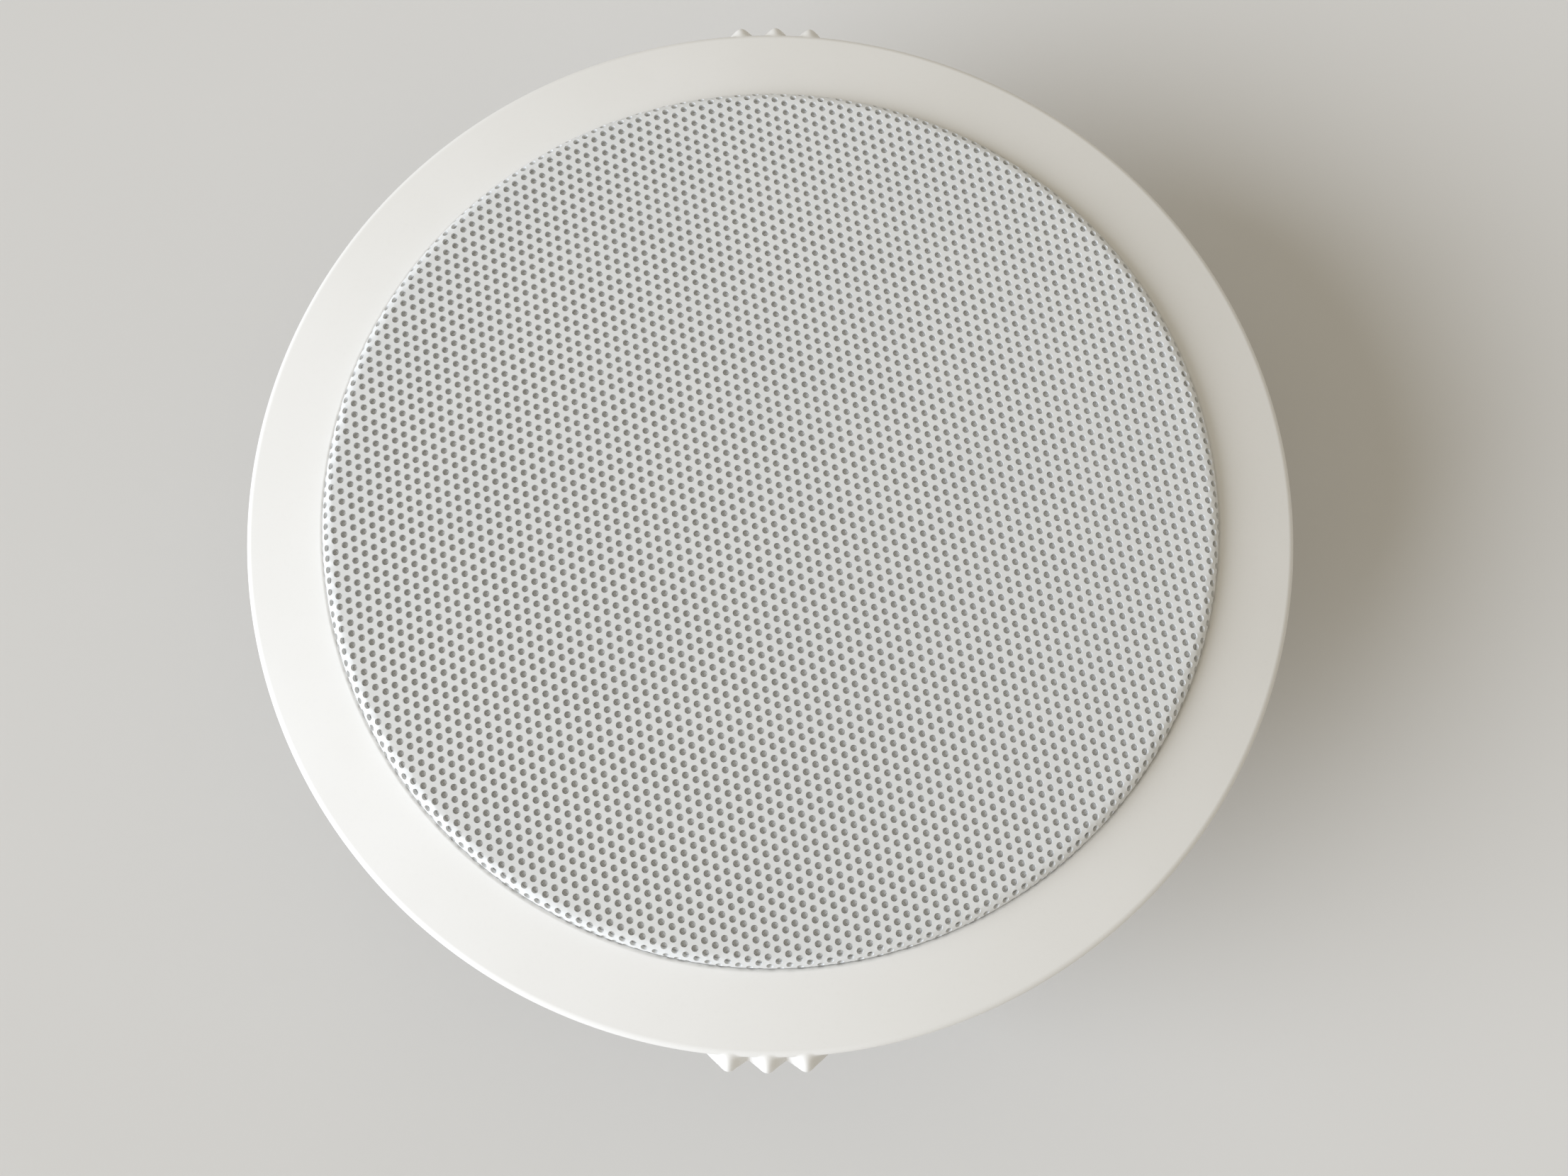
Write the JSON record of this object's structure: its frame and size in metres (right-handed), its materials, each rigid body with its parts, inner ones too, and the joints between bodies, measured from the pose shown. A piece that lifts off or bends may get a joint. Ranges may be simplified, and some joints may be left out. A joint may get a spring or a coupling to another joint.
{
  "type": "in-ceiling speaker",
  "caption": "Round in-ceiling loudspeaker: white bezel with grip ribs, crowned perforated steel grille, twist-off front, swing-out ceiling clamps and a paper-cone driver.",
  "frame": {"origin": "on the speaker's axis in the plane of the ceiling's face, at the front end of the collar that sits in the ceiling cut-out", "axes": "+Z points out of the ceiling into the room, along the axis. +Y runs through the two groups of grip ribs, and +X points at the driver's terminals"},
  "size_m": [0.24, 0.249, 0.0782],
  "materials": {
    "white_moulding": "satin moulded plastic",
    "white_steel": "satin powder coat on perforated steel",
    "lining_cloth": "thin plain-woven cloth",
    "frame_moulding": "moulded plastic",
    "black_steel": "black paint on pressed steel",
    "gasket_fibre": "pressed fibre",
    "surround_rubber": "matte rubber",
    "cone_paper": "pressed paper pulp",
    "dust_cap_paper": "pressed paper",
    "spider_cloth": "resin-treated cloth",
    "former_foil": "bright foil",
    "coil_wire": "enamelled copper wire",
    "plated_steel": "zinc plate",
    "ferrite": "sintered ferrite",
    "terminal_board": "phenolic board",
    "tinned_brass": "tin plate",
    "braided_lead": "braided copper",
    "screw_steel": "zinc plate",
    "clamp_nylon": "moulded nylon"
  },
  "bodies": {
    "frame": {"mounting_frame": "frame_moulding", "driver_basket": "black_steel", "driver_gasket": "gasket_fibre", "surround": "surround_rubber", "spider": "spider_cloth", "top_plate": "plated_steel", "magnet": "ferrite", "yoke": "plated_steel", "terminal_strip": "terminal_board", "terminal_tabs": "tinned_brass", "terminal_rivet": "plated_steel", "tinsel_leads": "braided_lead", "driver_screws": "screw_steel"},
    "front": {"front_bezel": "white_moulding", "grille": "white_steel", "grille_cloth": "lining_cloth"},
    "moving_cone": {"cone": "cone_paper", "dust_cap": "dust_cap_paper", "coil_former": "former_foil", "coil_winding": "coil_wire"},
    "screw_a": {"clamp_screw_a": "screw_steel", "clamp_clip_a": "screw_steel"},
    "dog_a": {"clamp_dog_a": "clamp_nylon"},
    "screw_b": {"clamp_screw_b": "screw_steel", "clamp_clip_b": "screw_steel"},
    "dog_b": {"clamp_dog_b": "clamp_nylon"},
    "screw_c": {"clamp_screw_c": "screw_steel", "clamp_clip_c": "screw_steel"},
    "dog_c": {"clamp_dog_c": "clamp_nylon"}
  },
  "joints": [
    {"name": "front_twist", "type": "hinge", "parent": "frame", "child": "front", "pos_m": [0, 0, 0.004], "axis": [0, 0, 1], "range_deg": [0, 14]},
    {"name": "cone_travel", "type": "slide", "parent": "frame", "child": "moving_cone", "axis": [0, 0, 1], "range_m": [-0.003, 0.003], "stiffness_N_per_m": 1200, "deforming": ["surround", "spider", "tinsel_leads"]},
    {"name": "clamp_a_swing", "type": "hinge", "parent": "frame", "child": "screw_a", "pos_m": [0, 0.094, -0.04], "axis": [0, 0, 1], "range_deg": [-100, 0]},
    {"name": "clamp_a_travel", "type": "slide", "parent": "screw_a", "child": "dog_a", "axis": [0, 0, 1], "range_m": [0, 0.022]},
    {"name": "clamp_b_swing", "type": "hinge", "parent": "frame", "child": "screw_b", "pos_m": [-0.08141, -0.047, -0.04], "axis": [0, 0, 1], "range_deg": [-100, 0]},
    {"name": "clamp_b_travel", "type": "slide", "parent": "screw_b", "child": "dog_b", "axis": [0, 0, 1], "range_m": [0, 0.022]},
    {"name": "clamp_c_swing", "type": "hinge", "parent": "frame", "child": "screw_c", "pos_m": [0.08141, -0.047, -0.04], "axis": [0, 0, 1], "range_deg": [-100, 0]},
    {"name": "clamp_c_travel", "type": "slide", "parent": "screw_c", "child": "dog_c", "axis": [0, 0, 1], "range_m": [0, 0.022]}
  ]
}
